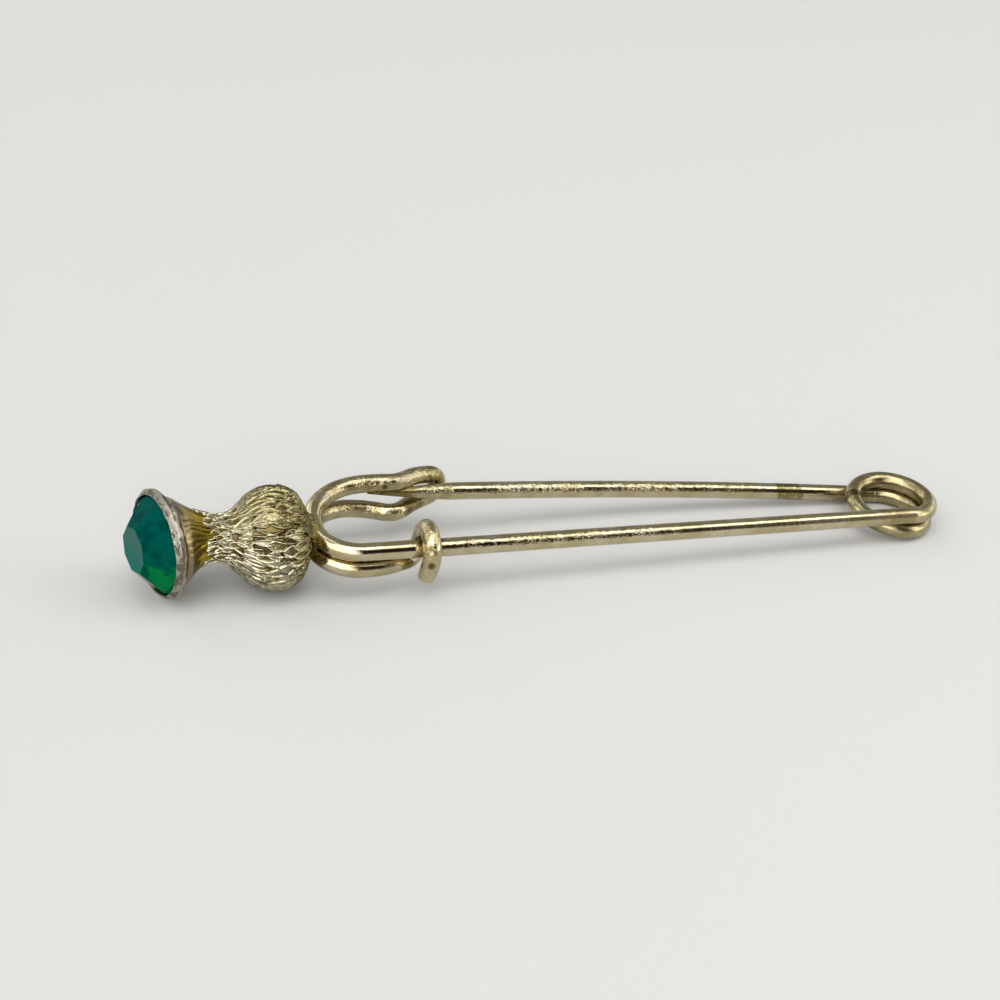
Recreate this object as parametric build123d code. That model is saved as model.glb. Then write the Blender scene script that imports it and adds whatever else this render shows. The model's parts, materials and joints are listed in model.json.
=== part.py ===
from build123d import *
import math
import os

os.makedirs("parts", exist_ok=True)

# Sizes of the bent wire, in millimetres and degrees
wire = 1.6
strand_gap = 0.07
coil_radius = 3.6
coil_turns = 1.5
coil_arcs = 12
turn_gap = 0.15
bend_distance = 53.4
bend_width = 9.3
front_bend_radius = 3.4
rear_bend_radius = 5.2
wrap_distance = 49.4
wrap_lead = 5.4
wrap_end = 1.1
butt_gap = 0.12

# Sizes of the pin arm
pin_length = 52.0
taper_length = 8.2
point_radius = 0.09
pin_reach_out = 5.3
pin_drop_at_catch = 0.8
pin_bow = 0.85
pin_sag = 0.2

# Sizes of the guard that holds the point
guard_length = 13.4
guard_spread = 3.0
guard_out = 7.0

# Sizes of the thistle
bulb_length = 7.4
bulb_radius = 4.38
bulb_overlap = 0.6
head_lift = 0.25
neck_lift = 0.45
flower_length = 5.4
rim_radius = 4.65
flower_turn = 13.5
columns = 88
bract_rows = 8
bract_height = 0.26
neck_ridge = 0.12
flute_depth = 0.1
rim_roughness = 0.1

# Sizes of the stone
stone_radius = 4.08
stone_clearance = 0.06
stone_sink = 0.15
table_share = 0.5
crown_height = 2.05
break_share = 0.84
girdle_height = 0.25
pavilion_depth = 2.9
pavilion_share = 0.3
facets = 8

# How the brooch lies on a table: rolled about its length, then its flower end raised
lying_roll = 4.65
lying_pitch = 2.01

wire_radius = wire / 2
strand_step = wire + strand_gap
coil_pitch = wire + turn_gap
coil_drop = coil_turns * coil_pitch
middle_level = -strand_step / 2
head_level = middle_level + head_lift
bend_x = -(bend_distance + bend_width / 2)
head_x = bend_x - wire_radius
facet_flat = math.cos(math.pi / facets)
culet_reach = pavilion_share * stone_radius * facet_flat
pavilion_slope = (stone_radius - culet_reach) / pavilion_depth

# The guard's two legs from the bend to the closed end:
# along = share of the guard's length, upper and lower = shares of guard_out,
# spread = share of half the guard's spread.
guard_legs = [
    {"along": 0.50, "upper": 0.78, "lower": 0.81, "spread": 1.00},
    {"along": 0.66, "upper": 0.75, "lower": 0.66, "spread": 1.00},
    {"along": 0.82, "upper": 0.93, "lower": 0.88, "spread": 0.95},
    {"along": 1.00, "upper": 0.99, "lower": 0.99, "spread": 0.68},
]

# The tail's turn round the fixed arm: back = share of the lead left to go,
# around = degrees from the rear side, out = shares of the strand step.
wrap_route = [
    {"back": 0.63, "around": -90, "out": 1.03},
    {"back": 0.10, "around": -62, "out": 1.10},
    {"back": -0.05, "around": -26, "out": 1.18},
    {"back": -0.08, "around": 32, "out": 1.18},
    {"back": -0.04, "around": 92, "out": 1.18},
    {"back": -0.03, "around": 152, "out": 1.18},
    {"back": -0.03, "around": 200, "out": 1.10},
    {"back": -0.03, "around": 240, "out": 1.50},
]

# Outline of the bulb from its base to the neck, and of the flower from the neck
# to the front of the rim: along = share of the length, radius = share of the
# largest radius.
bulb_outline = [
    {"along": 0.00, "radius": 0.64},
    {"along": 0.06, "radius": 0.78},
    {"along": 0.13, "radius": 0.89},
    {"along": 0.22, "radius": 0.96},
    {"along": 0.34, "radius": 1.00},
    {"along": 0.48, "radius": 0.97},
    {"along": 0.62, "radius": 0.875},
    {"along": 0.76, "radius": 0.70},
    {"along": 0.89, "radius": 0.52},
    {"along": 1.00, "radius": 0.455},
]
flower_outline = [
    {"along": 0.00, "radius": 0.435},
    {"along": 0.15, "radius": 0.450},
    {"along": 0.30, "radius": 0.488},
    {"along": 0.45, "radius": 0.580},
    {"along": 0.58, "radius": 0.692},
    {"along": 0.70, "radius": 0.813},
    {"along": 0.83, "radius": 0.925},
    {"along": 0.88, "radius": 0.985},
    {"along": 0.94, "radius": 1.000},
    {"along": 1.00, "radius": 0.957},
]

# One bract from its root to its tip: along = share of the row, ridge and
# valley = shares of the bract's height on its middle line and between bracts.
bract_outline = [
    {"along": 0.05, "ridge": 0.10, "valley": 0.35},
    {"along": 0.50, "ridge": 0.75, "valley": 0.10},
    {"along": 0.92, "ridge": 1.00, "valley": 0.00},
]


def smooth_read(rows, at):
    """Radius share at a place along an outline, by a Catmull-Rom curve through its rows."""
    last = len(rows) - 1
    index = 0
    while index < last - 1 and at > rows[index + 1]["along"]:
        index += 1
    before = rows[max(index - 1, 0)]
    start = rows[index]
    end = rows[index + 1]
    after = rows[min(index + 2, last)]
    span = end["along"] - start["along"]
    share = min(max((at - start["along"]) / span, 0.0), 1.0)
    slope_in = (end["radius"] - before["radius"]) / (end["along"] - before["along"]) * span
    slope_out = (after["radius"] - start["radius"]) / (after["along"] - start["along"]) * span
    square = share * share
    cube = square * share
    return (
        (2 * cube - 3 * square + 1) * start["radius"]
        + (cube - 2 * square + share) * slope_in
        + (3 * square - 2 * cube) * end["radius"]
        + (cube - square) * slope_out
    )


def uneven(first, second):
    """A fixed scattered number from 0 to 1 for a pair of whole numbers."""
    value = math.sin(first * 12.9898 + second * 78.233) * 43758.5453
    return value - math.floor(value)


def rounded_path(points, limits):
    """Straight runs joined by tangent arcs, each as large as its runs and its limit allow."""
    radii = []
    for index in range(1, len(points) - 1):
        here = Vector(*points[index])
        run_in = here - Vector(*points[index - 1])
        run_out = Vector(*points[index + 1]) - here
        half_turn = math.radians(run_in.get_angle(run_out)) / 2
        room = 0.485 * min(run_in.length, run_out.length) / math.tan(half_turn)
        radii.append(limits.get(index, room))
    return FilletPolyline(*points, radius=radii)


def tube(path):
    """The round wire along a path."""
    section = Plane(origin=path @ 0, z_dir=path % 0) * Circle(wire_radius)
    return sweep(section, path=path)


def guard_wire():
    """The wire from the fixed arm, round the thistle's base, through the guard and back to its end."""
    half = guard_spread / 2
    rear = bend_width - coil_radius
    points = [(wrap_end - wrap_distance, -coil_radius, 0)]
    limits = {}

    def bend(level, sides):
        for side in sides:
            limits[len(points)] = rear_bend_radius if side == rear else front_bend_radius
            points.append((bend_x, side, level))

    bend(0, (-coil_radius, rear))
    for row in guard_legs:
        place = bend_x + row["along"] * guard_length
        points.append((place, row["upper"] * guard_out, middle_level + half * row["spread"]))
    for row in reversed(guard_legs):
        place = bend_x + row["along"] * guard_length
        points.append((place, row["lower"] * guard_out, middle_level - half * row["spread"]))
    bend(-strand_step, (rear, -coil_radius))
    for row in wrap_route:
        turn = math.radians(row["around"])
        reach = row["out"] * strand_step
        place = -(wrap_distance + wrap_lead * row["back"])
        points.append((place, reach * math.cos(turn) - coil_radius, reach * math.sin(turn)))
    return tube(rounded_path(points, limits))


def seat_place(depth):
    """Centre of the seat at a depth behind the front of the rim."""
    turn = math.radians(flower_turn)
    front = head_x - bulb_length - flower_length
    return (front + depth * math.cos(turn), depth * math.sin(turn), head_level)


def outer_ring(along, radius, relief=None):
    """One ring of the casting's outside: centre, turn of its plane, and radius per column."""
    heights = [0.0] * columns if relief is None else [relief(column) for column in range(columns)]
    share = min(max((along - 0.9 * bulb_length) / flower_length, 0.0), 1.0)
    turn = math.radians(flower_turn) * math.sin(share * math.pi / 2)
    raised = min(max((along - 0.68 * bulb_length) / (1.6 * flower_length), 0.0), 1.0)
    level = head_level + neck_lift * math.sin(math.pi * raised) ** 2
    return ((head_x - along, 0, level), turn, [radius + height for height in heights])


def seat_ring(depth, radius):
    """One ring of the stone's seat, square to the stone's axis."""
    return (seat_place(depth), math.radians(flower_turn), [radius] * columns)


def bulb_rings():
    """Rings of the bulb: a blunt base, then staggered rows of raised bracts."""
    rings = [outer_ring(-bulb_overlap, 0.33 * bulb_radius)]
    rings.append(outer_ring(-0.25 * bulb_overlap, 0.54 * bulb_radius))
    first, last = 0.03, 0.86
    for row in range(bract_rows):
        fade = 1.0 - 0.45 * row / bract_rows
        for step in bract_outline:

            def bract(column, row=row, step=step, fade=fade):
                on_ridge = (column + row) % 2 == 0
                size = 0.6 + 0.6 * uneven(column // 2 + 7 * row, row)
                return bract_height * fade * (step["ridge"] * size if on_ridge else step["valley"])

            along = first + (last - first) * (row + step["along"]) / bract_rows
            radius = bulb_radius * smooth_read(bulb_outline, along)
            rings.append(outer_ring(along * bulb_length, radius, bract))
    return rings


def neck_rings():
    """Rings of the neck, with lengthwise ridges."""

    def ridges(column):
        return neck_ridge * (0.5 + uneven(column, 3)) * (column % 4 < 2)

    return [
        outer_ring(along * bulb_length, bulb_radius * smooth_read(bulb_outline, along), ridges)
        for along in (0.91, 1.0)
    ]


def flower_rings():
    """Rings of the flared flower with its flutes, and of the rough rim."""
    rings = []
    for along in (0.10, 0.22, 0.34, 0.46, 0.58, 0.70, 0.82):

        def flutes(column, fade=1 - along):
            return -flute_depth * fade * (column % 2)

        radius = rim_radius * smooth_read(flower_outline, along)
        rings.append(outer_ring(bulb_length + along * flower_length, radius, flutes))
    for number, along in enumerate((0.87, 0.91, 0.95, 0.99)):

        def lumps(column, number=number):
            return rim_roughness * (1.6 * uneven(column // 2, number + 11) - 1)

        radius = rim_radius * smooth_read(flower_outline, along)
        rings.append(outer_ring(bulb_length + along * flower_length, radius, lumps))
    return rings


def seat_rings():
    """Rings of the hollow that the stone sits in, a clearance away from it all round."""
    wall = stone_radius + stone_clearance
    front_radius = rim_radius * flower_outline[-1]["radius"]
    girdle_depth = stone_sink + girdle_height
    step_depth = girdle_depth + stone_radius * (1 - facet_flat) / pavilion_slope
    floor_depth = girdle_depth + pavilion_depth + 2 * stone_clearance
    return [
        seat_ring(0, (wall + front_radius) / 2),
        seat_ring(stone_sink / 2, wall),
        seat_ring(step_depth, wall),
        seat_ring(floor_depth, culet_reach / facet_flat + stone_clearance),
    ]


def ring_point(ring, column, share=1.0):
    """A point of a ring: its plane stands up and is turned about the vertical."""
    centre, turn, radii = ring
    angle = 2 * math.pi * column / columns
    side = share * radii[column] * math.cos(angle)
    x = centre[0] + side * math.sin(turn)
    y = centre[1] - side * math.cos(turn)
    return (x, y, centre[2] + share * radii[column] * math.sin(angle))


def casting():
    """The thistle as one closed faceted solid, ring joined to ring from base to seat floor."""
    rings = bulb_rings() + neck_rings() + flower_rings() + seat_rings()
    places = [[ring_point(ring, column) for column in range(columns)] for ring in rings]
    base_centre = ring_point(rings[0], 0, 0)
    seat_centre = ring_point(rings[-1], 0, 0)
    corners = []
    for column in range(columns):
        beside = (column + 1) % columns
        for near, far in zip(places, places[1:]):
            corners.append((near[column], near[beside], far[beside]))
            corners.append((near[column], far[beside], far[column]))
        corners.append((places[0][beside], places[0][column], base_centre))
        corners.append((places[-1][column], places[-1][beside], seat_centre))
    return Solid(Shell([Face(Wire.make_polygon(three, close=True)) for three in corners]))


def thistle_and_guard():
    """The casting soldered to the doubled wire at its base, so one solid."""
    return casting() + guard_wire()


def fixed_arm():
    """Straight front arm, from the wrap to the coil."""
    start = (wrap_end - wrap_distance + butt_gap, -coil_radius, 0)
    return tube(Line(start, (-butt_gap, -coil_radius, 0)))


def pin_lean():
    """Angle at which the pin arm leaves the coil, outward, in degrees."""
    run = pin_length - taper_length
    chord = math.atan2(pin_reach_out - coil_radius, run)
    return math.degrees(chord + math.atan2(4 * pin_bow, run))


def coil_point(turned, radius):
    """Place on the coil's helix after an angle from the fixed arm, at a distance from its axis."""
    angle = math.radians(turned - 90)
    return (radius * math.cos(angle), radius * math.sin(angle), -coil_pitch * turned / 360)


def spring_coil():
    """The wire's turns about the coil axis, as short arcs along a helix down to the pin arm."""
    swept = 360 * coil_turns - pin_lean()
    step = swept / coil_arcs
    corner_radius = coil_radius / math.cos(math.radians(step / 2))
    corners = [coil_point((number + 0.5) * step, corner_radius) for number in range(coil_arcs)]
    points = [coil_point(0, coil_radius), *corners, coil_point(swept, coil_radius)]
    radii = {index: 0.97 * coil_radius for index in range(1, coil_arcs + 1)}
    return tube(rounded_path(points, radii))


def pin_arm():
    """The sprung rear arm: a slow bow from the coil to the guard, then the ground point."""
    lean = math.radians(pin_lean())
    out_of_coil = Vector(-math.cos(lean), math.sin(lean), 0)
    coil_end = Vector(*coil_point(360 * coil_turns - pin_lean(), coil_radius))
    start = coil_end + out_of_coil * butt_gap
    shoulder = Vector(taper_length - pin_length, pin_reach_out, -pin_drop_at_catch)
    middle = (start + shoulder) * 0.5 + Vector(0, pin_bow, -pin_sag)
    shank = ThreePointArc(start, middle, shoulder)
    from_shoulder = (Align.CENTER, Align.CENTER, Align.MIN)
    taper = Cone(wire_radius, point_radius, taper_length, align=from_shoulder)
    return tube(shank) + Plane(origin=shank @ 1, z_dir=shank % 1) * taper


def facet_plane(turn, inner, outer):
    """A sloping plane that faces out at an angle and passes two (reach, level) places."""
    run = outer[0] - inner[0]
    fall = inner[1] - outer[1]
    side = 1 if fall > 0 else -1
    across_x = math.cos(math.radians(turn))
    across_y = math.sin(math.radians(turn))
    origin = (inner[0] * across_x, inner[0] * across_y, inner[1])
    return Plane(origin=origin, z_dir=(side * fall * across_x, side * fall * across_y, side * run))


def stone():
    """Cut stone in its seat: table, crown facets, break facets at the girdle and pavilion."""
    culet_level = -girdle_height - pavilion_depth
    full_height = crown_height - culet_level
    body = Cylinder(stone_radius, full_height, align=(Align.CENTER, Align.CENTER, Align.MIN))
    body = Pos(0, 0, culet_level) * body
    table_reach = table_share * stone_radius * facet_flat
    break_place = (break_share * stone_radius, 0.42 * crown_height)
    girdle_top = (stone_radius, 0)
    girdle_foot = (stone_radius, -girdle_height)
    for number in range(facets):
        at_flat = 360 * (number + 0.5) / facets
        at_corner = 360 * number / facets
        for plane in (
            facet_plane(at_flat, (table_reach, crown_height), girdle_top),
            facet_plane(at_corner, break_place, girdle_top),
            facet_plane(at_flat, (culet_reach, culet_level), girdle_foot),
        ):
            body = body.split(plane, keep=Keep.BOTTOM)
    turn = math.radians(flower_turn)
    table_side = (-math.cos(turn), -math.sin(turn), 0)
    return Plane(origin=seat_place(stone_sink), x_dir=(0, 0, 1), z_dir=table_side) * body


def main():
    """Builds each node, lays the brooch down with its origin below its middle, and writes it."""
    nodes = {
        "thistle_and_guard": thistle_and_guard(),
        "fixed_arm": fixed_arm(),
        "spring_coil": spring_coil(),
        "pin_arm": pin_arm(),
        "stone": stone(),
    }
    lying = Rot(0, lying_pitch, 0) * Rot(lying_roll, 0, 0)
    laid = {name: lying * shape for name, shape in nodes.items()}
    boxes = [shape.bounding_box() for shape in laid.values()]
    low = [min(tuple(box.min)[axis] for box in boxes) for axis in range(3)]
    high = [max(tuple(box.max)[axis] for box in boxes) for axis in range(3)]
    to_origin = Pos(-(low[0] + high[0]) / 2, -(low[1] + high[1]) / 2, -low[2])
    for name, shape in laid.items():
        export_step(to_origin * shape, f"parts/{name}.step")
    pin_axis = to_origin * lying * Pos(0, 0, -coil_drop)
    print("pin arm turns about", pin_axis.position, "along", Plane(pin_axis).z_dir)


main()
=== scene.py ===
"""Looks of the thistle brooch: bent wire, a cast head and a foiled green stone, on a pale table."""
import json
import math

import bpy
import numpy as np
from mathutils import Matrix, Vector


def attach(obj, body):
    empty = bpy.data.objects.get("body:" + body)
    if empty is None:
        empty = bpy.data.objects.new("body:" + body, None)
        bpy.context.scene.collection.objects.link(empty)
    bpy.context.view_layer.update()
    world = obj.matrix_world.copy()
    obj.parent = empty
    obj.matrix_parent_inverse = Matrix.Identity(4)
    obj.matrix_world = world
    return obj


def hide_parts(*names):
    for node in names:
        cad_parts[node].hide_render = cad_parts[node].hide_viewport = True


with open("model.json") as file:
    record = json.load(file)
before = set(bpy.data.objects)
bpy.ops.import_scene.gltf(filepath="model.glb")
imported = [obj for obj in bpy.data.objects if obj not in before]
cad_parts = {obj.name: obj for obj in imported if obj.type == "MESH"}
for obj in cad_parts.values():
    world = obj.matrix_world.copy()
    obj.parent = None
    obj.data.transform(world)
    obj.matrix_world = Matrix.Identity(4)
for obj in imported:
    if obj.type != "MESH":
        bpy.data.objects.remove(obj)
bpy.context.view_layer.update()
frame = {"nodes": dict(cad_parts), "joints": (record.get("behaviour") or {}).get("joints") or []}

# Sizes in millimetres in the wire's own frame: origin on the coil's axis at the fixed arm's level,
# X from the thistle to the coil, Y from the fixed arm to the pin arm, Z up the coil's axis
wire = 1.6
strand_gap = 0.07
coil_radius = 3.6
coil_turns = 1.5
turn_gap = 0.15
bend_distance = 53.4
bend_width = 9.3
front_bend_radius = 3.4
rear_bend_radius = 5.2
wrap_distance = 49.4
wrap_lead = 5.4
arm_overlap = 0.9
pin_length = 51.95
taper_length = 8.2
point_radius = 0.09
pin_reach_out = 5.3
pin_drop_at_catch = 0.60
pin_bow = 0.85
pin_sag = 0.2
guard_length = 13.4
guard_spread = 3.0
guard_out = 7.0
bulb_length = 7.4
bulb_radius = 4.36
large_leaf_depth = 0.44
small_leaf_depth = 0.26
solder_depth = 1.5
head_lift = 0.25
neck_lift = 0.45
flower_length = 5.4
flower_turn = math.radians(13.5)
flute_count = 41
flute_depth = 0.15
rim_radius = 4.62
rim_thickness = 0.11
rim_hammering = 0.16
rim_undercut = 0.10
lip_depth = 0.06
lip_swell = 0.10
stone_radius = 4.08
stone_clearance = 0.06
stone_sink = 0.15
girdle_height = 0.25
pavilion_depth = 2.9
culet_reach = 1.22
seat_top = 0.25
seat_bevel = 0.08

# How the brooch lies on the table
lying_roll = math.radians(4.65)
lying_pitch = math.radians(2.01)

# How fine the surfaces are: millimetres between rings of wire, and counts of places
path_spacing = 0.1
arm_spacing = 0.12
wire_columns = 40
shank_rows = 220
taper_rows = 60
bulb_columns = 450
bulb_rows = 200
base_rows = 10
flower_columns = 440
flower_rows = 150
lip_rows = 14

wire_radius = wire / 2
strand_step = wire + strand_gap
coil_pitch = wire + turn_gap
coil_drop = coil_turns * coil_pitch
middle_level = -strand_step / 2
head_level = middle_level + head_lift
bend_x = -(bend_distance + bend_width / 2)
head_x = bend_x - wire_radius
seat_radius = stone_radius + stone_clearance


# Places and meshes

def turn_about_x(angle):
    """Matrix that turns places about X, from Y towards Z."""
    c, s = math.cos(angle), math.sin(angle)
    return np.array([[1, 0, 0], [0, c, -s], [0, s, c]])


def turn_about_y(angle):
    """Matrix that turns places about Y, from Z towards X."""
    c, s = math.cos(angle), math.sin(angle)
    return np.array([[c, 0, s], [0, 1, 0], [-s, 0, c]])


joint = frame["joints"][0]
lying = turn_about_y(lying_pitch) @ turn_about_x(lying_roll)
coil_axis = lying @ np.array([0.0, 0.0, 1.0])
wire_origin = np.array(joint["pos_m"]) + coil_axis * coil_drop / 1000


def laid(places):
    """Places in metres on the table, from millimetres in the wire's frame."""
    return places @ lying.T / 1000 + wire_origin


def grid_faces(rows, columns):
    """Four corners of every cell of a grid whose columns join round."""
    row = np.arange(rows - 1)[:, None]
    column = np.arange(columns)[None, :]
    beside = (column + 1) % columns
    corners = [row * columns + column, row * columns + beside]
    corners += [(row + 1) * columns + beside, (row + 1) * columns + column]
    return np.stack(np.broadcast_arrays(*corners), axis=-1).reshape(-1, 4)


def fan_faces(first, columns, centre):
    """Triangles from one ring of a grid to a centre place."""
    column = np.arange(columns)
    beside = (column + 1) % columns
    return np.stack([first + column, first + beside, np.full(columns, centre)], axis=-1)


def enclosed_volume(places, faces):
    """Signed volume inside faces: each triangle gives a sixth of its corners' triple product."""
    a, b, c = places[faces[:, 0]], places[faces[:, 1]], places[faces[:, 2]]
    volume = np.einsum("ij,ij->i", a, np.cross(b, c)).sum()
    if faces.shape[1] == 4:
        d = places[faces[:, 3]]
        volume += np.einsum("ij,ij->i", a, np.cross(c, d)).sum()
    return volume / 6


def in_turn(columns, *parts):
    """A field's rows from its parts, each a count of rows and the values that fill them."""
    return np.concatenate([np.broadcast_to(values, (rows, columns)) for rows, values in parts])


def ringed_piece(name, rings, fields, finish, replaced, body="frame"):
    """A closed smooth piece from rings of places: ring joined to ring, and a fan over each end.

    rings is rows by columns by three, in the wire's frame. Each field is a number per place, rows by
    columns, kept as an attribute for the finish. Faces are turned outwards by the volume's sign.
    """
    rows, columns = rings.shape[:2]
    centres = np.stack([rings[0].mean(axis=0), rings[-1].mean(axis=0)])
    places = laid(np.concatenate([rings.reshape(-1, 3), centres]))
    sides = grid_faces(rows, columns)
    start_fan = fan_faces(0, columns, rows * columns)[:, ::-1]
    end_fan = fan_faces((rows - 1) * columns, columns, rows * columns + 1)
    volume = sum(enclosed_volume(places, part) for part in (sides, start_fan, end_fan))
    if volume < 0:
        sides, start_fan, end_fan = sides[:, ::-1], start_fan[:, ::-1], end_fan[:, ::-1]
    mesh = bpy.data.meshes.new(name)
    mesh.from_pydata(places.tolist(), [], sides.tolist() + start_fan.tolist() + end_fan.tolist())
    smooth = np.repeat([True, False], [len(sides), len(start_fan) + len(end_fan)])
    mesh.polygons.foreach_set("use_smooth", smooth)
    for field, values in fields.items():
        at_centres = [values[0].mean(), values[-1].mean()]
        stored = mesh.attributes.new(field, "FLOAT", "POINT")
        stored.data.foreach_set("value", np.append(values.ravel(), at_centres).astype(np.float32))
    mesh.materials.append(finish)
    piece = bpy.data.objects.new(name, mesh)
    bpy.context.scene.collection.objects.link(piece)
    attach(piece, body)
    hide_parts(*replaced)
    return piece


# Paths of the wire

def rounded_line(points, corner_radii):
    """Places along straight runs joined by tangent arcs.

    A corner named in corner_radii gets that radius. Any other arc is as large as its shorter run
    allows: it takes a little under half of the run, so that two arcs on one run don't meet.
    """
    run_share = 0.485
    fewest = 4
    points = np.array(points, float)
    pieces = [points[:1]]
    for index in range(1, len(points) - 1):
        run_in = points[index] - points[index - 1]
        run_out = points[index + 1] - points[index]
        length_in, length_out = np.linalg.norm(run_in), np.linalg.norm(run_out)
        into, out = run_in / length_in, run_out / length_out
        half_turn = math.acos(np.clip(into @ out, -1, 1)) / 2
        largest = run_share * min(length_in, length_out) / math.tan(half_turn)
        radius = corner_radii.get(index, largest)
        towards = (out - into) / np.linalg.norm(out - into)
        forward = (into + out) / np.linalg.norm(into + out)
        centre = points[index] + towards * radius / math.cos(half_turn)
        count = max(fewest, int(2 * half_turn * radius / path_spacing))
        angles = np.linspace(-half_turn, half_turn, count)[:, None]
        pieces.append(centre + radius * (np.sin(angles) * forward - np.cos(angles) * towards))
    pieces.append(points[-1:])
    return np.concatenate(pieces)


def evenly(path, spacing):
    """The same path with its places an even distance apart."""
    steps = np.linalg.norm(np.diff(path, axis=0), axis=1)
    along = np.append(0, np.cumsum(steps))
    wanted = np.linspace(0, along[-1], max(2, int(along[-1] / spacing) + 1))
    return np.stack([np.interp(wanted, along, path[:, axis]) for axis in range(3)], axis=-1)


def eased(path, reach):
    """A path with its bends softened: each place becomes the mean of its neighbours, weighted by a bell.

    The bell is exp(-4.5 (steps away / reach)^2). Past its ends the path goes on mirrored through them.
    """
    offsets = np.arange(-reach, reach + 1)
    bell = np.exp(-4.5 * (offsets / reach) ** 2)
    bell /= bell.sum()
    before = 2 * path[0] - path[reach:0:-1]
    after = 2 * path[-1] - path[-2:-reach - 2:-1]
    held = np.concatenate([before, path, after])
    return np.stack([np.convolve(held[:, axis], bell, "valid") for axis in range(3)], axis=-1)


def tube_rings(path, radii):
    """Rings of a round tube, each square to the path, with their start carried along untwisted.

    The first ring starts square to off_path, a direction that no wire here starts along.
    """
    off_path = [0.31, 0.22, 0.92]
    ahead = np.gradient(path, axis=0)
    ahead /= np.linalg.norm(ahead, axis=1)[:, None]
    side = np.cross(ahead[0], off_path)
    sides = []
    for direction in ahead:
        side = side - (side @ direction) * direction
        side = side / np.linalg.norm(side)
        sides.append(side)
    sides = np.array(sides)[:, None, :]
    others = np.cross(ahead, sides[:, 0])[:, None, :]
    angles = np.linspace(0, 2 * math.pi, wire_columns, endpoint=False)[None, :, None]
    radii = np.broadcast_to(np.asarray(radii), len(path))[:, None, None]
    return path[:, None, :] + radii * (np.cos(angles) * sides + np.sin(angles) * others)


# Bends of the guard's legs: share of its length, how far out in Y the upper and the lower strand lie
# as shares of guard_out, and share of the spread between them
guard_legs = [
    (0.50, 0.78, 0.81, 1.00),
    (0.66, 0.75, 0.66, 1.00),
    (0.82, 0.93, 0.88, 0.90),
    (1.00, 0.99, 0.99, 0.68),
]
# The wire's end round the fixed arm: share of its lead back towards the bend, degrees round the arm
# with 0 on the pin's side and 90 on top, and distance from the arm's axis in strand steps
wrapped_end = [
    (0.63, -90, 1.03),
    (0.10, -62, 1.10),
    (-0.05, -26, 1.18),
    (-0.08, 32, 1.18),
    (-0.04, 92, 1.18),
    (-0.03, 152, 1.18),
    (-0.03, 200, 1.10),
    (-0.03, 240, 1.45),
]


def guard_path():
    """The wire from the fixed arm round the thistle's base and through the guard to its cut end."""
    rear = bend_width - coil_radius
    bend_radii = {-coil_radius: front_bend_radius, rear: rear_bend_radius}
    points = [(arm_overlap - wrap_distance, -coil_radius, 0)]
    corner_radii = {}
    for side in (-coil_radius, rear):
        corner_radii[len(points)] = bend_radii[side]
        points.append((bend_x, side, 0))
    for share, upper, lower, spread in guard_legs:
        level = middle_level + spread * guard_spread / 2
        points.append((bend_x + share * guard_length, upper * guard_out, level))
    for share, upper, lower, spread in reversed(guard_legs):
        level = middle_level - spread * guard_spread / 2
        points.append((bend_x + share * guard_length, lower * guard_out, level))
    for side in (rear, -coil_radius):
        corner_radii[len(points)] = bend_radii[side]
        points.append((bend_x, side, -strand_step))
    for back, around, out in wrapped_end:
        angle = math.radians(around)
        reach = out * strand_step
        place = -(wrap_distance + wrap_lead * back)
        points.append((place, reach * math.cos(angle) - coil_radius, reach * math.sin(angle)))
    return eased(evenly(rounded_line(points, corner_radii), path_spacing), 5)


def coil_places(first, last):
    """The coil's helix between two angles in degrees, counted from the fixed arm."""
    count = int(math.radians(last - first) * coil_radius / path_spacing)
    turned = np.linspace(first, last, count)
    angles = np.radians(turned - 90)
    level = -coil_pitch * turned / 360
    return np.stack([coil_radius * np.cos(angles), coil_radius * np.sin(angles), level], axis=-1)


def coil_end():
    """Angle in degrees, counted from the fixed arm, at which the pin arm leaves the coil.

    The arm leans outward by the slope of its chord and by that of its bow's start, 4 bow / run.
    """
    run = pin_length - taper_length
    chord = math.atan2(pin_reach_out - coil_radius, run)
    return 360 * coil_turns - math.degrees(chord + math.atan2(4 * pin_bow, run))


def pin_places():
    """The pin arm: a parabola's bow from the coil to the shoulder, then straight to the point."""
    start = coil_places(0, coil_end())[-1]
    shoulder = np.array([taper_length - pin_length, pin_reach_out, -pin_drop_at_catch])
    share = np.linspace(0, 1, shank_rows)[:, None]
    bow = 4 * share * (1 - share) * np.array([0, pin_bow, -pin_sag])
    shank = start + share * (shoulder - start) + bow
    ahead = shank[-1] - shank[-2]
    ahead /= np.linalg.norm(ahead)
    point = shank[-1] + np.linspace(0, taper_length, taper_rows)[1:, None] * ahead
    return np.concatenate([shank, point])


# The thistle

def read_outline(rows, at):
    """Shares along an outline by a Catmull-Rom curve through its rows of (along, share)."""
    knots, shares = np.array(rows).T
    slopes = np.gradient(shares, knots)
    at = np.clip(at, knots[0], knots[-1])
    index = np.clip(np.searchsorted(knots, at, side="right") - 1, 0, len(knots) - 2)
    span = knots[index + 1] - knots[index]
    t = (at - knots[index]) / span
    start, end = shares[index], shares[index + 1]
    return (
        (2 * t**3 - 3 * t**2 + 1) * start
        + (t**3 - 2 * t**2 + t) * span * slopes[index]
        + (3 * t**2 - 2 * t**3) * end
        + (t**3 - t**2) * span * slopes[index + 1]
    )


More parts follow.
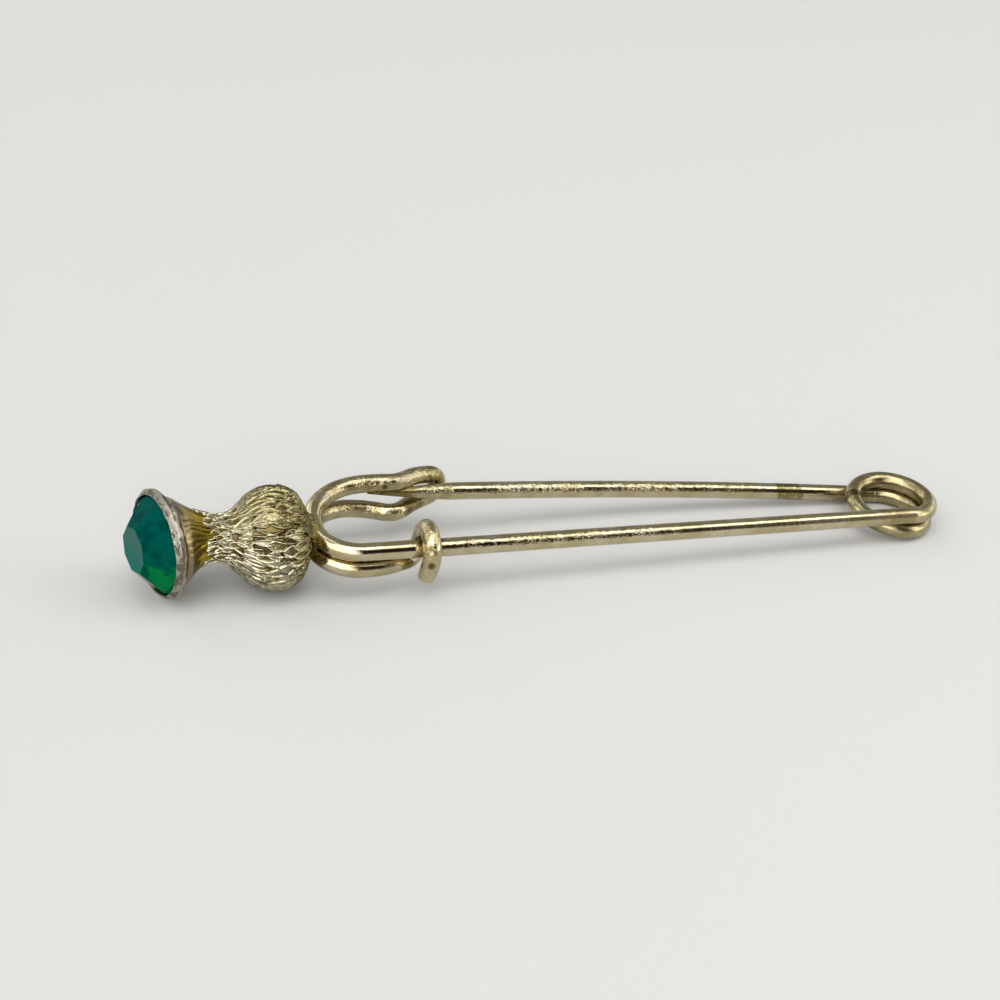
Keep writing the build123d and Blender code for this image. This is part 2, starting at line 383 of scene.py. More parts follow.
def grain(around, along, cells_around, cells_along, seed):
    """Smooth random numbers from 0 to 1 over a surface: a table of chances, eased between its cells."""
    table = np.random.default_rng(seed).random((cells_along + 2, cells_around))
    a = around * cells_around
    b = np.clip(along, 0, 1) * cells_along
    left, low = np.floor(a).astype(int), np.floor(b).astype(int)
    fa, fb = a - left, b - low
    fa, fb = fa * fa * (3 - 2 * fa), fb * fb * (3 - 2 * fb)
    left, right = left % cells_around, (left + 1) % cells_around
    near = table[low, left] * (1 - fa) + table[low, right] * fa
    far = table[low + 1, left] * (1 - fa) + table[low + 1, right] * fa
    return near * (1 - fb) + far * fb


def eased_step(value, low, high):
    """0 below low, 1 above high, and eased between."""
    share = np.clip((value - low) / (high - low), 0, 1)
    return share * share * (3 - 2 * share)


def head_places(along, radius, around):
    """Places round the head, along millimetres from its base: upright rings on a line that rises.

    The rings turn to the flower's angle by a quarter sine, over one flower's length from turn_start.
    The line rises and sinks back by a squared sine, over rise_length from rise_start.
    """
    turn_start = 0.9 * bulb_length
    rise_start = 0.68 * bulb_length
    rise_length = 1.6 * flower_length
    share = np.clip((along - turn_start) / flower_length, 0, 1)
    turn = flower_turn * np.sin(share * math.pi / 2)
    raised = np.clip((along - rise_start) / rise_length, 0, 1)
    level = head_level + neck_lift * np.sin(math.pi * raised) ** 2
    angle = 2 * math.pi * around
    side = radius * np.cos(angle)
    x = head_x - along + side * np.sin(turn)
    y = -side * np.cos(turn)
    z = level + radius * np.sin(angle)
    return np.stack(np.broadcast_arrays(x, y, z), axis=-1)


def leaves(around, along, rows, columns, half_length, half_width, seed):
    """Height from 0 to 1 of overlapping pointed leaves with raised edges.

    Rows of leaves are shifted by half a leaf in turn, and each leaf draws its own length, place, lean,
    hollow and width. With u along a leaf and d across it as a share of its half width 1 - u^2, the
    height is a ridge exp(-((d - 0.80) / 0.19)^2) by the edge over a hollow middle, it climbs from the
    root to the tip, and it falls off to nothing at d = 1.12. Where leaves overlap, the highest shows.
    """
    rows_before, spare_rows = 3, 8
    ridge_place, ridge_width = 0.80, 0.19
    leaf_edge, edge_slope = 1.12, 0.3
    chances = np.random.default_rng(seed).random((rows + spare_rows, columns, 6))
    q, c = along * rows, around * columns
    height = np.zeros(np.broadcast(q, c).shape)
    for row_step in (-2, -1, 0, 1, 2):
        row = np.floor(q).astype(int) + row_step
        shift = 0.5 * (row % 2)
        for column_step in (-1, 0, 1):
            column = np.round(c - shift).astype(int) + column_step
            drawn = chances[np.clip(row + rows_before, 0, rows + spare_rows - 1), column % columns]
            long, up, leaning, hollow, aside, wide = np.moveaxis(drawn, -1, 0)
            length = half_length * (0.65 + 0.7 * long)
            width = half_width * (0.7 + 0.6 * wide)
            u = (q - row - 0.5 - 0.8 * (up - 0.5)) / length
            lean = 0.7 * (leaning - 0.5) * (0.4 + u)
            w = (c - shift - column - lean - 0.3 * (aside - 0.5)) / width
            d = np.abs(w) / np.clip(1 - u * u, 1e-6, 1)
            climb = 0.55 + 0.45 * np.clip((u + 1) / 1.6, 0, 1)
            middle = 0.26 + 0.42 * hollow
            ridge = np.exp(-(((d - ridge_place) / ridge_width) ** 2))
            fall = np.sqrt(np.clip((leaf_edge - d) / edge_slope, 0, 1))
            leaf = climb * (middle + (1 - middle) * ridge) * fall
            height = np.maximum(height, np.where((np.abs(u) < 1) & (d < leaf_edge), leaf, 0))
    return height


# Outlines of the casting: share of the length, and radius as a share of the largest
bulb_outline = [
    (0.00, 0.46), (0.04, 0.64), (0.09, 0.79), (0.15, 0.89), (0.22, 0.955), (0.34, 1.00), (0.48, 0.97),
    (0.62, 0.875), (0.76, 0.70), (0.89, 0.52), (1.00, 0.462),
    (1.09, 0.472), (1.18, 0.505), (1.30, 0.574),
]
flower_outline = [
    (0.00, 0.435), (0.15, 0.450), (0.30, 0.488), (0.45, 0.580), (0.58, 0.692),
    (0.70, 0.813), (0.83, 0.925), (0.88, 0.985), (0.94, 1.000), (1.00, 0.932),
]


def bulb_rings():
    """The bulb and neck covered with leaves, and the height of each place on its leaf.

    Large leaves end at 0.85 of the bulb's length and small ones start from 0.69. Between the leaves
    shows an uneven floor, raised by a bell exp(-((share - 0.77) / 0.08)^2) where the two kinds meet.
    The small leaves run out in ragged tips on the flower, and an ellipsoid closes the base.
    """
    outline_height = 0.45
    solder_height = 0.4
    around = np.linspace(0, 1, bulb_columns, endpoint=False)[None, :]
    along = np.linspace(0, bulb_outline[-1][0], bulb_rows)[:, None] * bulb_length
    share = along / bulb_length
    radius = bulb_radius * read_outline(bulb_outline, share)
    large = leaves(
        around, np.clip(share, 0, 1), rows=7, columns=34, half_length=0.92, half_width=0.60, seed=3
    )
    small = leaves(around, share, rows=8, columns=21, half_length=0.95, half_width=0.62, seed=4)
    large_end = 1 - eased_step(share, 0.80, 0.85)
    small_start = eased_step(share, 0.69, 0.74)
    seam = np.exp(-(((share - 0.77) / 0.08) ** 2))
    floor = (0.08 + 0.32 * seam) * grain(around, share, 80, 24, 14)
    fine = 0.06 * (grain(around, share, 190, 60, 12) - 0.5)
    relief = np.maximum(floor, np.maximum(large * large_end, small * small_start)) + fine
    depth = large_leaf_depth - (large_leaf_depth - small_leaf_depth) * small_start
    tips = 1.20 + 0.13 * (grain(around, 0 * share, 27, 1, 13) - 0.5)
    ending = 0.35 * eased_step(share, tips, tips + 0.05)
    base_share = np.linspace(0, 1, base_rows + 2)[1:-1, None]
    base = head_places(-solder_depth * np.sqrt(1 - base_share), radius[0] * np.sqrt(base_share), around)
    body = head_places(along, radius + depth * (relief - outline_height) - ending, around)
    fields = {
        "height": in_turn(bulb_columns, (base_rows, solder_height), (bulb_rows, relief)),
        "from_base": in_turn(bulb_columns, (base_rows, 0), (bulb_rows, share)),
    }
    return np.concatenate([base, body]), fields


def seat_places(depth, radius, around):
    """Places round the seat: a ring square to the stone's axis, so deep behind the rim's front."""
    front = head_x - bulb_length - flower_length
    x, y = front + depth * math.cos(flower_turn), depth * math.sin(flower_turn)
    angle = 2 * math.pi * around
    side = radius * np.cos(angle)
    parts = (x + side * math.sin(flower_turn), y - side * math.cos(flower_turn))
    return np.stack(np.broadcast_arrays(*parts, head_level + radius * np.sin(angle)), axis=-1)


def flower_grooves(around, share):
    """Depth of the grooves between the flutes, which fade towards the rim.

    A flute is one hump of |sin| round the flower, and all wander by up to 1.1 flutes.
    """
    wander = 1.1 * grain(around, share, 29, 3, 5)
    flutes = np.abs(np.sin(math.pi * (flute_count * around + wander)))
    cut = flute_depth * (1 - eased_step(share, 0.45, 0.95)) * (0.3 + grain(around, share, 60, 4, 6))
    return cut * (1 - flutes)


def rim_back(around, share):
    """Share of the flower's length at which the rim's back edge lies: a little slanted and uneven."""
    angle = 2 * math.pi * around
    wander = 0.05 * (grain(around, 0 * share, 15, 1, 7) - 0.5)
    return 0.828 + 0.014 * np.cos(angle) - 0.020 * np.sin(angle) + wander


def rim_lip(edge, edge_radius, around):
    """The rim's front, from the flower's edge in to the seat's wall, and the ruffles on it.

    It swells forward by a sine across it, with ruffles on the swell. What is left between its first
    ring and the flower's edge fades inward by a square.
    """
    inward = np.linspace(0, 1, lip_rows)[1:, None]
    radius = edge_radius * (1 - inward) + (seat_radius + seat_bevel) * inward
    broad = 0.13 * (grain(around, inward, 38, 4, 10) - 0.5)
    ruffle = broad + 0.05 * (grain(around, inward, 90, 6, 11) - 0.5)
    ruffled = ruffle * np.sin(math.pi * (0.15 + 0.7 * inward))
    depth = lip_depth + ruffled - lip_swell * np.sin(math.pi * inward)
    left_over = edge - seat_places(lip_depth, edge_radius, around)
    places = seat_places(depth, radius, around) + (1 - inward[..., None]) ** 2 * left_over
    return places, ruffle


def flower_rings():
    """The fluted flower, its thick hammered rim and the stone's seat inside it, with their fields."""
    first_share = 0.02
    edge_half_width = 0.012
    dirt_width = 0.018
    seat_height = 0.1
    around = np.linspace(0, 1, flower_columns, endpoint=False)[None, :]
    share = np.linspace(first_share, 1, flower_rows)[:, None]
    grooves = flower_grooves(around, share)
    back_edge = rim_back(around, share)
    on_rim = eased_step(share, back_edge - edge_half_width, back_edge + edge_half_width)
    lumps = grain(around, share, 40, 22, 8) - 0.5 + 0.5 * (grain(around, share, 100, 50, 9) - 0.5)
    undercut = rim_undercut * eased_step(share, 0.6, 0.82)
    radius = rim_radius * read_outline(flower_outline, share) - grooves - undercut
    radius = radius + on_rim * (rim_thickness + rim_hammering * lumps)
    outside = head_places(bulb_length + share * flower_length, radius, around)
    lip, ruffle = rim_lip(outside[-1:], radius[-1:], around)
    girdle_foot = stone_sink + girdle_height
    wall_foot = girdle_foot + 0.05
    pavilion_foot = girdle_foot + pavilion_depth + seat_bevel
    seat = [
        seat_places(seat_top, seat_radius, around),
        seat_places(wall_foot, seat_radius, around),
        seat_places(pavilion_foot, culet_reach + seat_bevel, around),
    ]
    outer, inner = len(outside), len(lip) + len(seat)
    # The seat's rows and the lip's last ring are painted near black: painted shade in the gap round the
    # stone.
    painted_shade_rows = len(seat) + 1
    columns = flower_columns
    back = np.exp(-(((share - back_edge) / dirt_width) ** 2))
    heights = [(outer, 0.5 + lumps), (len(lip), 0.5 + 3 * ruffle), (len(seat), seat_height)]
    fields = {
        "rim": in_turn(columns, (outer, on_rim), (inner, 1)),
        "height": in_turn(columns, *heights),
        "groove": in_turn(columns, (outer, grooves / flute_depth), (inner, 0)),
        "toward_rim": in_turn(columns, (outer, share), (inner, 1)),
        "seat": in_turn(columns, (outer + inner - painted_shade_rows, 0), (painted_shade_rows, 1)),
        "back": in_turn(columns, (outer, back), (inner, 0)),
    }
    return np.concatenate([outside, lip, *seat]), fields


# Finishes

class Number:
    """A shader socket that carries a value and takes Python's arithmetic."""

    def __init__(self, finish, socket):
        self.finish = finish
        self.socket = socket

    def __add__(self, other):
        return self.finish.math("ADD", self, other)

    def __radd__(self, other):
        return self.finish.math("ADD", other, self)

    def __sub__(self, other):
        return self.finish.math("SUBTRACT", self, other)

    def __rsub__(self, other):
        return self.finish.math("SUBTRACT", other, self)

    def __mul__(self, other):
        return self.finish.math("MULTIPLY", self, other)

    def __rmul__(self, other):
        return self.finish.math("MULTIPLY", other, self)


class Finish:
    """The nodes of one material, or of the room's light."""

    def __init__(self, owner, coordinates="Object"):
        owner.use_nodes = True
        self.owner = owner
        self.tree = owner.node_tree
        self.tree.nodes.clear()
        self.places = self.node("TexCoord", out=coordinates)

    def node(self, kind, settings=None, sockets=None, out=0):
        """Adds a node, first its settings, then its sockets' values or links, and gives one output."""
        added = self.tree.nodes.new("ShaderNode" + kind)
        for key, value in (settings or {}).items():
            setattr(added, key, value)
        for key, value in (sockets or {}).items():
            target = self.find(added.inputs, key)
            if isinstance(value, Number):
                self.tree.links.new(value.socket, target)
            else:
                target.default_value = value
        return Number(self, self.find(added.outputs, out)) if len(added.outputs) else None

    @staticmethod
    def find(sockets, key):
        """A socket by its place, its identifier or its name."""
        if isinstance(key, int):
            return sockets[key]
        matches = [socket for socket in sockets if socket.identifier == key]
        return matches[0] if matches else sockets[key]

    def math(self, operation, *values):
        """A Math node over numbers and sockets."""
        return self.node("Math", {"operation": operation}, dict(enumerate(values)))

    def clamp(self, value):
        """A value held between 0 and 1."""
        return self.node("Clamp", None, {"Value": value})

    def step(self, value, low, high):
        """0 below low, 1 above high, and eased between."""
        settings = {"interpolation_type": "SMOOTHSTEP"}
        sockets = {"Value": value, "From Min": low, "From Max": high}
        return self.node("MapRange", settings, sockets)

    def mix(self, share, first, second):
        """A colour between two colours."""
        sockets = {"Factor_Float": share, "A_Color": first, "B_Color": second}
        return self.node("Mix", {"data_type": "RGBA"}, sockets, "Result_Color")

    def noise(self, per_mm, detail, roughness=0.55):
        """Cloudy noise from 0 to 1, with so many cells a millimetre."""
        sockets = {"Vector": self.places, "Scale": per_mm * 1000}
        sockets.update({"Detail": detail, "Roughness": roughness})
        return self.node("TexNoise", None, sockets, "Fac")

    def pits(self, per_mm):
        """Distance from scattered points, 0 at each, with so many points a millimetre."""
        return self.node("TexVoronoi", None, {"Vector": self.places, "Scale": per_mm * 1000}, "Distance")

    def field(self, name):
        """A number kept on the surface."""
        return self.node("Attribute", {"attribute_name": name}, None, "Fac")

    def axis(self, letter, vector=None):
        """One coordinate of a place in metres, or of another vector."""
        return self.node("SeparateXYZ", None, {"Vector": vector or self.places}, letter)

    def bump(self, height, depth_mm, strength):
        """A normal that follows a height of so many millimetres."""
        sockets = {"Height": height, "Distance": depth_mm / 1000, "Strength": strength}
        return self.node("Bump", None, sockets, "Normal")

    def surface(self, sockets):
        """Ends the material in a surface, and gives the material."""
        shader = self.node("BsdfPrincipled", None, sockets)
        self.node("OutputMaterial", None, {"Surface": shader})
        return self.owner

    def metal(self, colour, roughness, normal):
        """Ends the material in a metal surface."""
        sockets = {"Base Color": colour, "Roughness": roughness, "Metallic": 1.0, "Normal": normal}
        return self.surface(sockets)


# Colours of the plated metal, with a painted dark top for the bulb and painted shade for the stone's
# seat
plate = (0.455, 0.38, 0.215, 1)
plate_pale = (0.565, 0.50, 0.345, 1)
plate_aged = (0.25, 0.20, 0.08, 1)
olive = (0.17, 0.135, 0.035, 1)
brown = (0.055, 0.032, 0.018, 1)
leaf_hollow = (0.12, 0.092, 0.036, 1)
leaf_worn = (0.425, 0.39, 0.275, 1)
leaf_warm = (0.19, 0.13, 0.07, 1)
leaf_painted_dark_top = (0.19, 0.16, 0.05, 1)
neck_pale = (0.72, 0.67, 0.49, 1)
flower_beige = (0.28, 0.215, 0.105, 1)
flower_amber = (0.19, 0.135, 0.008, 1)
rim_plate = (0.285, 0.25, 0.185, 1)
rim_silver = (0.345, 0.33, 0.285, 1)
rim_dirt = (0.10, 0.075, 0.045, 1)
seat_painted_shade = (0.02, 0.02, 0.015, 1)

# Colours of the foiled glass, with painted light, painted refraction and a painted reflection
glass_deep = (0.0, 0.052, 0.040, 1)
glass_painted_light = (0.0, 0.135, 0.030, 1)
glass_painted_refraction = (0.0, 0.027, 0.027, 1)
glass_table_reflection_below = (0.008, 0.098, 0.080, 1)
glass_table_reflection_above = (0.030, 0.094, 0.076, 1)
glass_sheen = (0.25, 0.8, 0.6, 1)


def wire_finish():
    """Pale gold plate on drawn wire: polished, with rough patches, olive stains, brown spots and a
    painted dark reflection on the pin's point.
    """
    made = Finish(bpy.data.materials.new("wire_plate"))
    stain_and_point_reflection = made.field("stain_and_point_reflection")
    rough = made.field("rough")
    dull = made.field("dull")
    patches = made.clamp(rough * (0.35 + 0.65 * made.step(made.noise(0.3, 3.0), 0.38, 0.58)))
    pits = made.step(made.pits(1.25), 0.05, 0.20)
    cloud = made.noise(0.5, 4.0)
    colour = made.mix(made.step(cloud, 0.35, 0.7), plate, plate_pale)
    aged = made.clamp(dull * (0.3 + 1.2 * made.step(made.noise(0.8, 3.0), 0.30, 0.70)))
    colour = made.mix(aged * 0.7, colour, plate_aged)
    colour = made.mix((1 - pits) * (0.2 + 0.5 * patches), colour, olive)
    # Stains, and the painted dark reflection on the pin's point, turn olive at their edge and brown at
    # their core.
    uneven = stain_and_point_reflection + 1.2 * (made.noise(2.2, 5.0, 0.65) - 0.5)
    edge = made.step(uneven, 0.42, 0.60)
    colour = made.mix(edge * 0.8, colour, olive)
    core = made.step(uneven, 0.78, 1.0)
    colour = made.mix(core * 0.75, colour, brown)
    ragged = made.noise(4.4, 1.5, 0.5)
    flakes = made.step(made.noise(2.4, 3.0, 0.6), 0.46, 0.56)
    height = ragged * (0.15 + 5.0 * patches) + flakes * patches * 0.9
    height = height + pits * (0.2 + 0.5 * patches) + made.noise(1.6, 2.0) * (0.5 + 1.2 * dull)
    roughness = 0.05 + 0.05 * cloud + 0.03 * patches + 0.15 * dull + 0.1 * edge
    return made.metal(colour, roughness, made.bump(height, 0.014, 1.0))


def leaf_finish():
    """Plated casting: bright worn edges on the leaves, olive and brown in the hollows, and a painted
    dark olive top.
    """
    made = Finish(bpy.data.materials.new("cast_leaves"))
    height = made.field("height")
    from_base = made.field("from_base")
    mottle = made.noise(1.3, 4.0)
    high = made.step(height + 0.3 * (mottle - 0.5), 0.36, 0.74)
    colour = made.mix(high, leaf_hollow, leaf_worn)
    neck = made.step(from_base, 0.85, 0.97)
    colour = made.mix(neck * high * 0.7, colour, neck_pale)
    # Painted dark top: above a height over the table, the bulb is mixed towards dark olive.
    top = made.step(made.axis("Z"), 0.0060, 0.0085)
    colour = made.mix(top * 0.65, colour, leaf_painted_dark_top)
    deep = 1 - made.step(height + 0.2 * (mottle - 0.5), 0.10, 0.34)
    colour = made.mix(deep * 0.7, colour, brown)
    near_wire = 1 - made.step(from_base + 0.30 * (mottle - 0.5), 0.05, 0.36)
    colour = made.mix(near_wire * 0.8, colour, olive)
    warm = made.step(made.noise(0.35, 2.0), 0.5, 0.7)
    colour = made.mix(warm * (1 - high) * 0.30, colour, leaf_warm)
    roughness = 0.09 + 0.13 * (1 - high) + 0.05 * mottle
    return made.metal(colour, roughness, made.bump(made.noise(5.0, 3.0), 0.014, 0.4))


def flower_finish():
    """Plated flower: amber by the neck, beige towards the rim, dark flutes, the rim worn to silver, and
    the seat painted near black as shade.
    """
    made = Finish(bpy.data.materials.new("cast_flower"))
    rim = made.field("rim")
    cloud = made.noise(1.1, 4.0)
    fine = made.noise(5.5, 4.0, 0.65)
    amber_band = 1 - made.step(made.field("toward_rim") + 0.25 * (cloud - 0.5), 0.52, 0.78)
    colour = made.mix(amber_band, flower_beige, flower_amber)
    colour = made.mix(made.clamp(made.field("groove") * 0.45), colour, brown)
    low = 1 - made.step(made.field("height") + 1.4 * (fine - 0.5), 0.24, 0.54)
    worn = made.mix(cloud, rim_plate, rim_silver)
    worn = made.mix(low * 0.85, worn, rim_dirt)
    colour = made.mix(rim, colour, worn)
    colour = made.mix(made.clamp(made.field("back") * 0.85), colour, brown)
    # Painted shade: the seat goes near black.
    colour = made.mix(made.field("seat"), colour, seat_painted_shade)
    roughness = 0.20 + 0.08 * rim + 0.2 * low * rim
    relief = fine * (0.35 + 1.3 * rim)
    return made.metal(colour, roughness, made.bump(relief, 0.04, 0.9))


def stone_finish():
    """Emerald glass over foil with its light painted in: deep above, painted brighter where facets face
    down, painted dark refraction blotches, and a painted grey-green reflection on the table facet in
    front.
    """
    made = Finish(bpy.data.materials.new("green_glass"))
    facing = made.node("TexCoord", out="Normal")
    cloud = made.noise(0.55, 4.0)
    # Painted light: facets that face down are painted brighter green, as if lit through the glass.
    low = 1 - made.step(made.axis("Z", facing) + 0.6 * (cloud - 0.5), -0.45, 0.30)
    colour = made.mix(low, glass_deep, glass_painted_light)
    # Painted refraction: soft dark blotches stand in for the pavilion's facets seen through the glass.
    painted_refraction = made.step(made.noise(0.9, 3.0), 0.48, 0.62)
    colour = made.mix(painted_refraction * 0.75, colour, glass_painted_refraction)
    # Painted reflection: the table facet in front is grey-green, a little redder higher up.
    height = made.step(made.axis("Z"), 0.0035, 0.0060)
    table = made.mix(height, glass_table_reflection_below, glass_table_reflection_above)
    on_table = made.step(made.axis("X", facing) * -1, 0.90, 0.93)
    colour = made.mix(on_table, colour, table)
    sockets = {"Base Color": colour, "Roughness": 0.04, "IOR": 1.25}
    sockets.update({"Specular IOR Level": 0.03, "Specular Tint": glass_sheen})
    return made.surface(sockets)


def table_finish():
    """Smooth pale table."""
    made = Finish(bpy.data.materials.new("pale_table"))
    colour = made.mix(made.noise(0.008, 2.0), (0.490, 0.484, 0.462, 1), (0.500, 0.494, 0.472, 1))
    return made.surface({"Base Color": colour, "Roughness": 0.7})


# The brooch

# Stains on the wire: place of the middle, size over which the bell falls off, and depth of colour
wire_marks = [
    {"place": (-49.65, -5.62, 1.48), "size": 0.34, "depth": 1.1},
    {"place": (-49.49, -6.13, -0.06), "size": 0.38, "depth": 1.1},
    {"place": (-50.51, 4.58, 0.76), "size": 0.34, "depth": 1.0},
    {"place": (-51.60, 4.40, 0.90), "size": 0.30, "depth": 0.8},
    {"place": (-47.80, 4.75, -1.95), "size": 0.85, "depth": 0.9},
    {"place": (-46.60, 5.10, -1.95), "size": 0.75, "depth": 0.85},
    {"place": (-59.30, 0.60, -1.20), "size": 0.70, "depth": 0.9},
    {"place": (-61.10, 5.35, -0.67), "size": 0.50, "depth": 1.1},
    {"place": (-45.60, 6.90, 0.40), "size": 1.80, "depth": 0.62},
    {"place": (-47.20, 6.90, 0.90), "size": 1.20, "depth": 0.45},
    {"place": (-58.60, -1.60, -0.90), "size": 1.10, "depth": 0.75},
    {"place": (-58.60, 2.20, -0.90), "size": 1.10, "depth": 0.75},
    {"place": (-49.60, -3.60, 1.00), "size": 0.90, "depth": 0.7},
    {"place": (-47.90, -3.60, 0.90), "size": 0.45, "depth": 0.7},
    {"place": (-50.60, -3.60, -1.60), "size": 0.90, "depth": 0.7},
]
mark_strength = 1.15
band_place, band_half_width = -8.9, 1.42
patch_angle, patch_half_angle = 160, 7.5
wrap_place, wrap_half_width = -49.3, 1.2


def stretch(x, start, full, fading, end):
    """0 outside a stretch of the wire, 1 inside it, and eased at both ends."""
    return eased_step(x, start, full) * (1 - eased_step(x, fading, end))


def wire_fields(rings):
    """How stained each place of the wire is, and how rough and how dull the plate is there.

    The stain is the deepest of the marks' bells exp(-(distance / size)^2), a band across the pin arm
    and a patch on the coil. Stretches of both arms, the guard and the wrap are rough, and the
    guard, the wrap, the coil and the bend's lower strand are dull.
    """
    x, y, z = np.moveaxis(rings, -1, 0)
    stain_and_point_reflection = np.zeros(x.shape)
    for mark in wire_marks:
        away = np.linalg.norm(rings - np.array(mark["place"]), axis=-1)
        bell = np.exp(-((away / mark["size"]) ** 2))
        stain_and_point_reflection = np.maximum(stain_and_point_reflection, mark_strength * mark["depth"] * bell)
    pin_side, arm_side = y > 2, y < 0
    band = (np.abs(x - band_place) < band_half_width) & pin_side
    round_coil = np.degrees(np.arctan2(y, x))
    patch = (np.abs(round_coil - patch_angle) < patch_half_angle) & (x > -6)
    stain_and_point_reflection = np.maximum(stain_and_point_reflection, 0.62 * band + 1.1 * patch)
    pin_arm = stretch(x, -44, -36, -20, -10) * pin_side
    fixed_arm = 0.65 * stretch(x, -53, -46, -30, -22) * arm_side
    guard = eased_step(y, 2.0, 5.0) * (1 - eased_step(x, -44.2, -43.8))
    off_arm = np.hypot(y + coil_radius, z)
    wrap = (np.abs(x - wrap_place) < wrap_half_width) * arm_side * (off_arm > 0.9)
    strand = 0.4 * (1 - eased_step(z, -1.2, -0.7)) * arm_side * eased_step(-x, 49.5, 51)
    coil = eased_step(x, -7, -2)
    rough = 0.12 + 0.88 * np.maximum.reduce([pin_arm, fixed_arm, guard, 0.7 * wrap])
    dull = np.maximum.reduce([0.65 * guard, 0.3 * wrap, coil, strand])
    return {"stain_and_point_reflection": stain_and_point_reflection, "rough": rough, "dull": dull}


def make_guard_wire(finish):
    """The wire from the fixed arm round the bend and the guard to its cut end, its rim softened."""
    cut_end = np.array([1.0, 0.985, 0.91])
    path = guard_path()
    radii = np.full(len(path), wire_radius)
    radii[-len(cut_end):] = wire_radius * cut_end
    rings = tube_rings(path, radii)
    ringed_piece("guard_wire", rings, wire_fields(rings), finish, ["thistle_and_guard"])


def make_arm_and_coil(finish):
    """The straight fixed arm and the coil, in one."""
    straight = np.array([[-wrap_distance, -coil_radius, 0], [0, -coil_radius, 0]])
    path = np.concatenate([evenly(straight, arm_spacing)[:-1], coil_places(0, coil_end())])
    rings = tube_rings(path, wire_radius)
    replaced = ["fixed_arm", "spring_coil"]
    ringed_piece("arm_and_coil", rings, wire_fields(rings), finish, replaced)


def make_pin_wire(finish):
    """The pin arm: a start hidden in the coil's end, the shank, and the ground point, with a painted
    dark reflection on the point.
    """
    hidden_degrees = 9
    hidden_share = 0.995
    taper_power = 1.25
    painted_reflection_rows = 44
    hidden = coil_places(coil_end() - hidden_degrees, coil_end())[:-1]
    path = np.concatenate([hidden, pin_places()])
    radii = np.full(len(path), wire_radius)
    radii[:len(hidden)] = wire_radius * hidden_share
    taper = np.linspace(0, 1, taper_rows)[1:]
    radii[-len(taper):] = wire_radius + (point_radius - wire_radius) * taper**taper_power
    rings = tube_rings(path, radii)
    fields = wire_fields(rings)
    # The point's last rows are painted dark, full at the tip: a painted reflection, kept in the field
    # with the stains.
    point_stain = fields["stain_and_point_reflection"][-painted_reflection_rows:]
    fields["stain_and_point_reflection"][-painted_reflection_rows:] = np.maximum(point_stain, taper[-painted_reflection_rows:, None])
    ringed_piece("pin_wire", rings, fields, finish, ["pin_arm"], "pin")


def make_thistle():
    """The cast head: the bulb of leaves and the flower with its rim and seat."""
    rings, fields = bulb_rings()
    ringed_piece("thistle_bulb", rings, fields, leaf_finish(), ["thistle_and_guard"])
    rings, fields = flower_rings()
    ringed_piece("thistle_flower", rings, fields, flower_finish(), ["thistle_and_guard"])


def make_stone():
    """The cut stone keeps its exact facets and gets its glass."""
    node = frame["nodes"]["stone"]
    node.data.materials.clear()
    node.data.materials.append(stone_finish())


# Table, light and camera

def make_stage():
    """A wide pale table, in metres."""
    reach = 3.0
    mesh = bpy.data.meshes.new("table")
    corners = [(-reach, -reach, 0), (reach, -reach, 0), (reach, reach, 0), (-reach, reach, 0)]
    mesh.from_pydata(corners, [], [(0, 1, 2, 3)])
    mesh.materials.append(table_finish())
    table = bpy.data.objects.new("table", mesh)
    bpy.context.scene.collection.objects.link(table)


def make_light():
    """A long soft light overhead, set off towards the viewer and +X, facing straight down, in metres."""
    place = Vector((0.27, -0.16, 0.62))
    below = Vector((0.27, -0.16, 0))
    data = bpy.data.lights.new("overhead", "AREA")
    data.shape = "RECTANGLE"
    data.size, data.size_y = 0.95, 0.36
    data.energy = 2.5
    data.color = (0.98, 1.0, 1.06)
    light = bpy.data.objects.new("overhead", data)
    light.location = place
    light.rotation_euler = (below - place).to_track_quat("-Z", "Y").to_euler()
    bpy.context.scene.collection.objects.link(light)


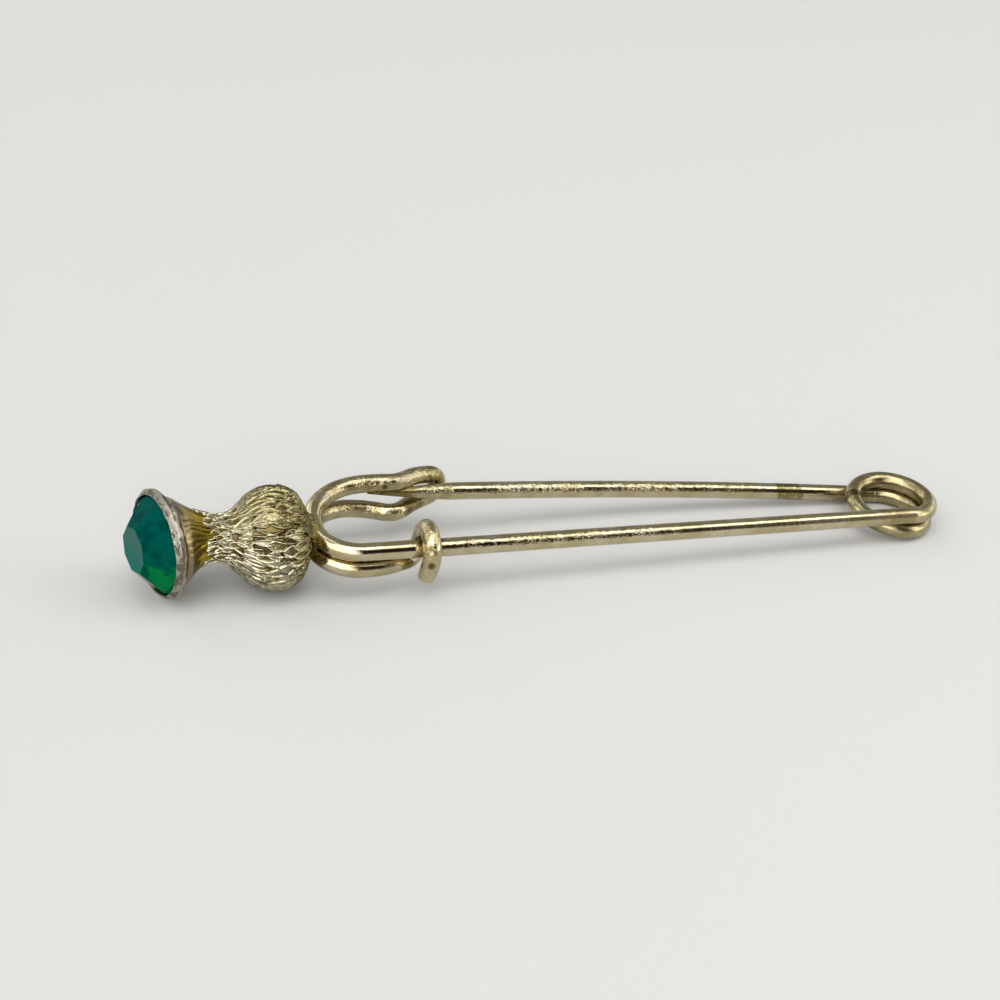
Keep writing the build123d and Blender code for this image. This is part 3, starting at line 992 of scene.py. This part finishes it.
def make_room():
    """The light of the room round the table, by direction.

    lean is the angle in degrees up from the level on the viewer's side, over the top and down behind.
    The room is grey and dimmer behind, with a dark band over the viewer's side that fades to the
    right. Its walls to the left and right are bright and uneven, brightest beside the viewer.
    """
    above = (0.42, 0.42, 0.40, 1)
    behind = (0.32, 0.33, 0.30, 1)
    dark = (0.03, 0.018, 0.022, 1)
    wall_dim = (0.55, 0.55, 0.54, 1)
    wall_bright = (2.1, 2.12, 2.12, 1)
    window = (3.5, 3.52, 3.55, 1)
    low_down = (0.66, 0.66, 0.64, 1)
    wall_cells = 2.8
    room = bpy.data.worlds.new("room")
    made = Finish(room, "Generated")
    sideways = made.axis("X")
    height = made.axis("Z")
    toward_viewer = made.axis("Y") * -1
    lean = made.math("ARCTAN2", height, toward_viewer) * (180 / math.pi)
    band = made.step(lean, 8.0, 16.0) * (1 - made.step(lean, 48.0, 58.0))
    band = band * (1 - 0.75 * made.step(sideways, 0.47, 0.60))
    shade = made.mix(made.step(lean, 86.0, 100.0), above, behind)
    shade = made.mix(band, shade, dark)
    uneven = made.step(made.noise(wall_cells / 1000, 2.0), 0.42, 0.56)
    walls = made.mix(uneven, wall_dim, wall_bright)
    left = made.step(sideways * -1, -0.15, 0.25)
    right = made.step(sideways, 0.66, 0.80)
    shade = made.mix(left, shade, walls)
    shade = made.mix(right, shade, walls)
    beside_viewer = made.clamp(left + right * 0.8) * made.step(toward_viewer, 0.0, 0.3)
    shade = made.mix(beside_viewer * 0.85, shade, window)
    shade = made.mix(made.step(height, 0.06, 0.15), low_down, shade)
    light = made.node("Background", None, {"Color": shade, "Strength": 1.0}, "Background")
    made.node("OutputWorld", None, {"Surface": light})
    bpy.context.scene.world = room


def make_camera():
    """The photograph's camera: heading from +Y towards +X, dip below level, and a small roll.

    Its place is given in the wire's frame, and its angles are about the table's axes.
    """
    place = np.array([-100.34, -117.74, 88.98])
    heading = math.radians(24.28)
    dip = math.radians(30.12)
    roll = math.radians(7.61)
    data = bpy.data.cameras.new("camera")
    data.sensor_width = 36.0
    data.lens = 64.8
    data.clip_start = 0.005
    camera = bpy.data.objects.new("camera", data)
    camera.location = laid(place)
    turn = Matrix.Rotation(-heading, 4, "Z") @ Matrix.Rotation(math.pi / 2 - dip, 4, "X")
    camera.rotation_euler = (turn @ Matrix.Rotation(roll, 4, "Z")).to_euler()
    bpy.context.scene.collection.objects.link(camera)
    bpy.context.scene.camera = camera


bpy.context.scene.view_settings.view_transform = "Standard"
make_camera()
make_stage()
make_room()
make_light()
wire_plate = wire_finish()
make_guard_wire(wire_plate)
make_arm_and_coil(wire_plate)
make_pin_wire(wire_plate)
make_thistle()
make_stone()
